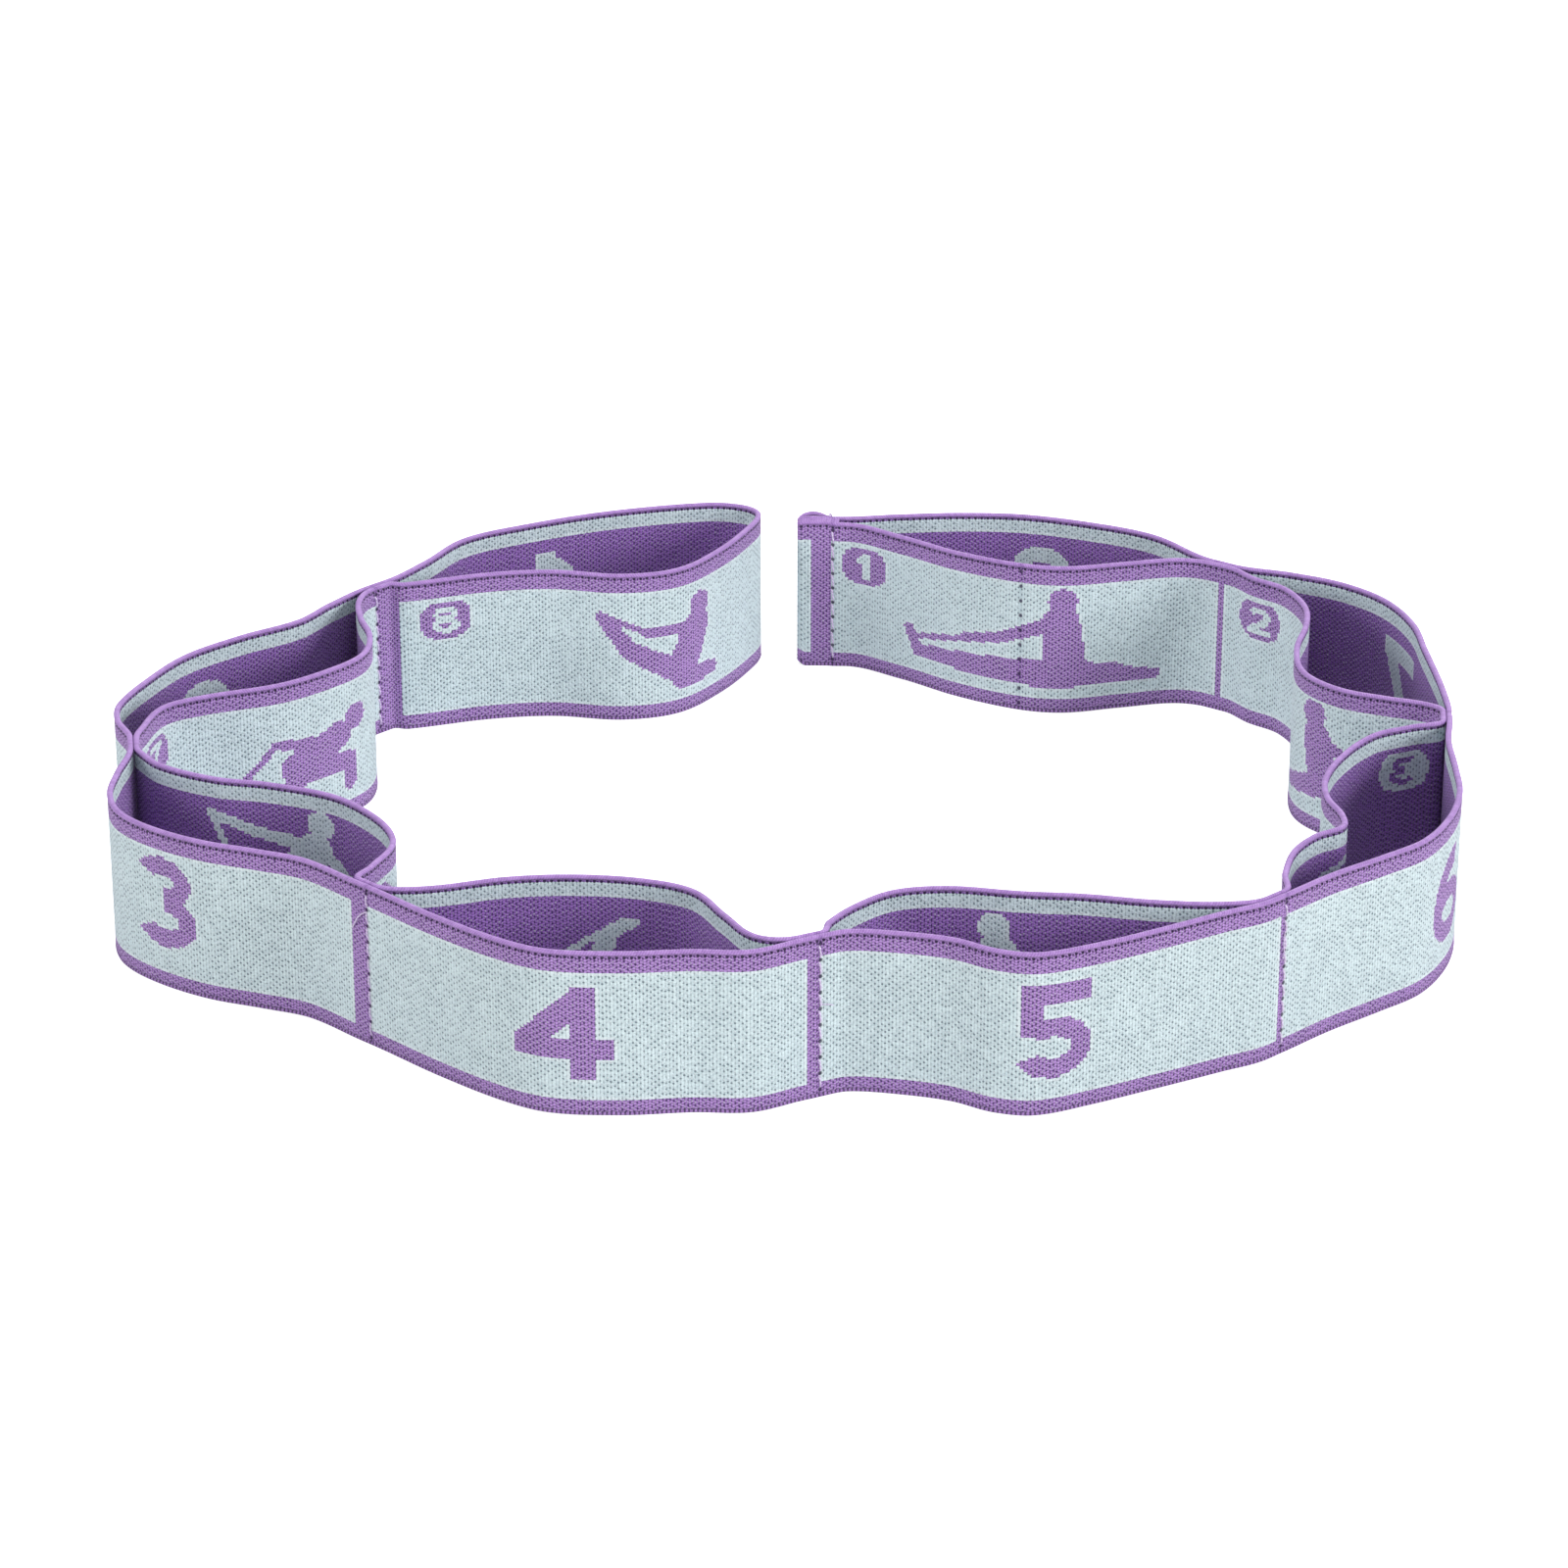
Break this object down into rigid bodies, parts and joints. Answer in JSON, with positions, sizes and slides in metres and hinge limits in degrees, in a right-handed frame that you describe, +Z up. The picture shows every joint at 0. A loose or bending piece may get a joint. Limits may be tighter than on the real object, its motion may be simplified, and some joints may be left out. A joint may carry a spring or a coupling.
{
  "type": "stretching strap",
  "caption": "Elastic stretching strap: a double layer of woven elastic tape sewn across at equal steps into a chain of hand and foot loops, standing on edge in an open oval.",
  "frame": {"origin": "middle of the plan outline of the oval, on the floor the strap stands on", "axes": "+X to the right along the longer side of the oval, +Y to the back where the two ends nearly meet, +Z up across the width of the tape"},
  "size_m": [0.317, 0.2545, 0.04],
  "materials": {
    "outer_tape": "woven, matt, pale blue with purple borders and numbers",
    "inner_tape": "woven, matt, purple and pale blue",
    "rubber": "natural rubber threads",
    "thread": "polyester sewing thread"
  },
  "bodies": {
    "loop_1_near": {"loop_1_outer_start": "outer_tape", "loop_1_inner_start": "inner_tape", "loop_1_rubber_start": "rubber", "hem_stitches": "thread", "hem_outer_turn": "outer_tape", "hem_inner_turn": "inner_tape"},
    "loop_1_far": {"loop_1_outer_end": "outer_tape", "loop_1_inner_end": "inner_tape", "loop_1_rubber_end": "rubber", "seam_1_stitches": "thread"},
    "loop_2_near": {"loop_2_outer_start": "outer_tape", "loop_2_inner_start": "inner_tape", "loop_2_rubber_start": "rubber"},
    "loop_2_far": {"loop_2_outer_end": "outer_tape", "loop_2_inner_end": "inner_tape", "loop_2_rubber_end": "rubber", "seam_2_stitches": "thread"},
    "loop_3_near": {"loop_3_outer_start": "outer_tape", "loop_3_inner_start": "inner_tape", "loop_3_rubber_start": "rubber"},
    "loop_3_far": {"loop_3_outer_end": "outer_tape", "loop_3_inner_end": "inner_tape", "loop_3_rubber_end": "rubber", "seam_3_stitches": "thread"},
    "loop_4_near": {"loop_4_outer_start": "outer_tape", "loop_4_inner_start": "inner_tape", "loop_4_rubber_start": "rubber"},
    "loop_4_far": {"loop_4_outer_end": "outer_tape", "loop_4_inner_end": "inner_tape", "loop_4_rubber_end": "rubber", "seam_4_stitches": "thread"},
    "loop_5_near": {"loop_5_outer_start": "outer_tape", "loop_5_inner_start": "inner_tape", "loop_5_rubber_start": "rubber"},
    "loop_5_far": {"loop_5_outer_end": "outer_tape", "loop_5_inner_end": "inner_tape", "loop_5_rubber_end": "rubber", "seam_5_stitches": "thread"},
    "loop_6_near": {"loop_6_outer_start": "outer_tape", "loop_6_inner_start": "inner_tape", "loop_6_rubber_start": "rubber"},
    "loop_6_far": {"loop_6_outer_end": "outer_tape", "loop_6_inner_end": "inner_tape", "loop_6_rubber_end": "rubber", "seam_6_stitches": "thread"},
    "loop_7_near": {"loop_7_outer_start": "outer_tape", "loop_7_inner_start": "inner_tape", "loop_7_rubber_start": "rubber"},
    "loop_7_far": {"loop_7_outer_end": "outer_tape", "loop_7_inner_end": "inner_tape", "loop_7_rubber_end": "rubber", "seam_7_stitches": "thread"},
    "loop_8_near": {"loop_8_outer_start": "outer_tape", "loop_8_inner_start": "inner_tape", "loop_8_rubber_start": "rubber"},
    "loop_8_far": {"loop_8_outer_end": "outer_tape", "loop_8_inner_end": "inner_tape", "loop_8_rubber_end": "rubber", "end_fold": "inner_tape"}
  },
  "joints": [
    {"name": "loop_1_stretch", "type": "slide", "parent": "loop_1_far", "child": "loop_1_near", "axis": [-0.9611, 0.2763, 0], "range_m": [0, 0.035]},
    {"name": "loop_2_stretch", "type": "slide", "parent": "loop_2_far", "child": "loop_2_near", "axis": [-0.457, 0.8895, 0], "range_m": [0, 0.035]},
    {"name": "loop_3_stretch", "type": "slide", "parent": "loop_3_far", "child": "loop_3_near", "axis": [0.4472, 0.8944, 0], "range_m": [0, 0.035]},
    {"name": "loop_4_stretch", "type": "slide", "parent": "loop_4_far", "child": "loop_4_near", "axis": [0.9825, 0.186, 0], "range_m": [0, 0.035]},
    {"name": "loop_5_stretch", "type": "slide", "parent": "loop_5_near", "child": "loop_5_far", "axis": [-0.9678, 0.2517, 0], "range_m": [0, 0.035]},
    {"name": "loop_6_stretch", "type": "slide", "parent": "loop_6_near", "child": "loop_6_far", "axis": [-0.6257, 0.78, 0], "range_m": [0, 0.035]},
    {"name": "loop_7_stretch", "type": "slide", "parent": "loop_7_near", "child": "loop_7_far", "axis": [0.4848, 0.8746, 0], "range_m": [0, 0.035]},
    {"name": "loop_8_stretch", "type": "slide", "parent": "loop_8_near", "child": "loop_8_far", "axis": [0.8991, 0.4377, 0], "range_m": [0, 0.035]},
    {"name": "seam_1_fold", "type": "hinge", "parent": "loop_2_near", "child": "loop_1_far", "pos_m": [0.10993, 0.087, 0.02], "axis": [0, 0, -1], "range_deg": [-45, 58]},
    {"name": "seam_2_fold", "type": "hinge", "parent": "loop_3_near", "child": "loop_2_far", "pos_m": [0.15643, -0.0035, 0.02], "axis": [0, 0, -1], "range_deg": [-45, 58]},
    {"name": "seam_3_fold", "type": "hinge", "parent": "loop_4_near", "child": "loop_3_far", "pos_m": [0.10893, -0.0985, 0.02], "axis": [0, 0, -1], "range_deg": [-2, 58]},
    {"name": "seam_4_fold", "type": "hinge", "parent": "loop_4_far", "child": "loop_5_near", "pos_m": [0.00593, -0.118, 0.02], "axis": [0, 0, 1], "range_deg": [-1.5, 58]},
    {"name": "seam_5_fold", "type": "hinge", "parent": "loop_5_far", "child": "loop_6_near", "pos_m": [-0.09287, -0.0923, 0.02], "axis": [0, 0, 1], "range_deg": [-1.5, 58]},
    {"name": "seam_6_fold", "type": "hinge", "parent": "loop_6_far", "child": "loop_7_near", "pos_m": [-0.15207, -0.0185, 0.02], "axis": [0, 0, 1], "range_deg": [-45, 58]},
    {"name": "seam_7_fold", "type": "hinge", "parent": "loop_7_far", "child": "loop_8_near", "pos_m": [-0.10107, 0.0735, 0.02], "axis": [0, 0, 1], "range_deg": [-45, 58]}
  ],
  "couplings": [
    {"joint": "loop_1_stretch", "follows": "loop_4_stretch", "ratio": 1},
    {"joint": "loop_2_stretch", "follows": "loop_4_stretch", "ratio": 1},
    {"joint": "loop_3_stretch", "follows": "loop_4_stretch", "ratio": 1},
    {"joint": "loop_5_stretch", "follows": "loop_4_stretch", "ratio": 1},
    {"joint": "loop_6_stretch", "follows": "loop_4_stretch", "ratio": 1},
    {"joint": "loop_7_stretch", "follows": "loop_4_stretch", "ratio": 1},
    {"joint": "loop_8_stretch", "follows": "loop_4_stretch", "ratio": 1}
  ]
}
